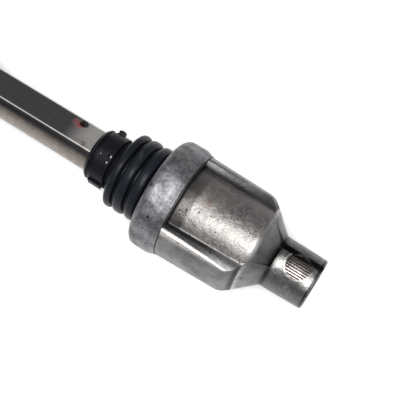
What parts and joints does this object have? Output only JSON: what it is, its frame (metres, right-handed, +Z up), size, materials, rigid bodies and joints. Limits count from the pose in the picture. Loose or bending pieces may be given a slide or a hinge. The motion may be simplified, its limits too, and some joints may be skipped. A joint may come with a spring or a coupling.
{
  "type": "intermediate steering shaft",
  "caption": "Telescoping double-D steering shaft with a booted pot joint and slotted splined socket at one end, and a universal joint with a splined clamp yoke at the other.",
  "frame": {"origin": "centre of the lower splined socket's mouth, on the shaft's axis", "axes": "+X along the shaft and out of the lower socket's mouth, +Z up with the shaft lying level"},
  "size_m": [0.404, 0.051, 0.051],
  "materials": {
    "forged_steel": "raw forging, lightly oiled, with pits and brown stains",
    "cover_steel": "pressed steel, dull",
    "bar_steel": "cold drawn, dark phosphate with worn edges",
    "bearing_steel": "ground",
    "spring_steel": "oil tempered",
    "plated_steel": "zinc plated",
    "band_steel": "black coated band",
    "boot_rubber": "satin black rubber",
    "seal_rubber": "matt",
    "liner_plastic": "natural acetal"
  },
  "bodies": {
    "pot": {"joint_housing": "forged_steel", "housing_cover": "cover_steel", "retaining_plate": "cover_steel", "dust_boot": "boot_rubber", "thrust_spring": "spring_steel"},
    "thrust_seat": {"spring_cup": "bearing_steel"},
    "block_carriage": {"bearing_block_left": "bearing_steel", "bearing_block_right": "bearing_steel", "block_washers": "spring_steel"},
    "lower_shaft": {"inner_shaft": "bar_steel", "cross_pin": "bearing_steel", "boot_clamp": "band_steel"},
    "upper_tube": {"outer_tube": "bar_steel", "slip_liner": "liner_plastic", "tube_yoke": "forged_steel", "bearing_cap_left": "bearing_steel", "bearing_cap_right": "bearing_steel", "tube_yoke_snap_rings": "spring_steel"},
    "cross": {"u_joint_cross": "bearing_steel", "cap_seals": "seal_rubber"},
    "upper_clamp": {"clamp_yoke": "forged_steel", "bearing_cap_top": "bearing_steel", "bearing_cap_bottom": "bearing_steel", "clamp_yoke_snap_rings": "spring_steel", "pinch_bolt": "plated_steel", "pinch_nut": "plated_steel"}
  },
  "joints": [
    {"name": "pot_plunge", "type": "slide", "parent": "pot", "child": "thrust_seat", "axis": [1, 0, 0], "range_m": [-0.003, 0.006], "deforming": ["thrust_spring", "dust_boot"]},
    {"name": "pot_tilt", "type": "hinge", "parent": "thrust_seat", "child": "block_carriage", "pos_m": [-0.0555, 0, 0], "axis": [0, 0.0698, 0.9976], "range_deg": [-8, 8], "deforming": ["dust_boot"]},
    {"name": "pot_swing", "type": "hinge", "parent": "block_carriage", "child": "lower_shaft", "pos_m": [-0.0555, 0, 0], "axis": [0, 0.9976, -0.0698], "range_deg": [-8, 8], "deforming": ["dust_boot"]},
    {"name": "telescope", "type": "slide", "parent": "lower_shaft", "child": "upper_tube", "axis": [1, 0, 0], "range_m": [-0.025, 0.025]},
    {"name": "u_joint_pitch", "type": "hinge", "parent": "upper_tube", "child": "cross", "pos_m": [-0.348, 0, 0], "axis": [0, 1, 0], "range_deg": [-30, 30]},
    {"name": "u_joint_yaw", "type": "hinge", "parent": "cross", "child": "upper_clamp", "pos_m": [-0.348, 0, 0], "axis": [0, 0, 1], "range_deg": [-30, 30]}
  ]
}
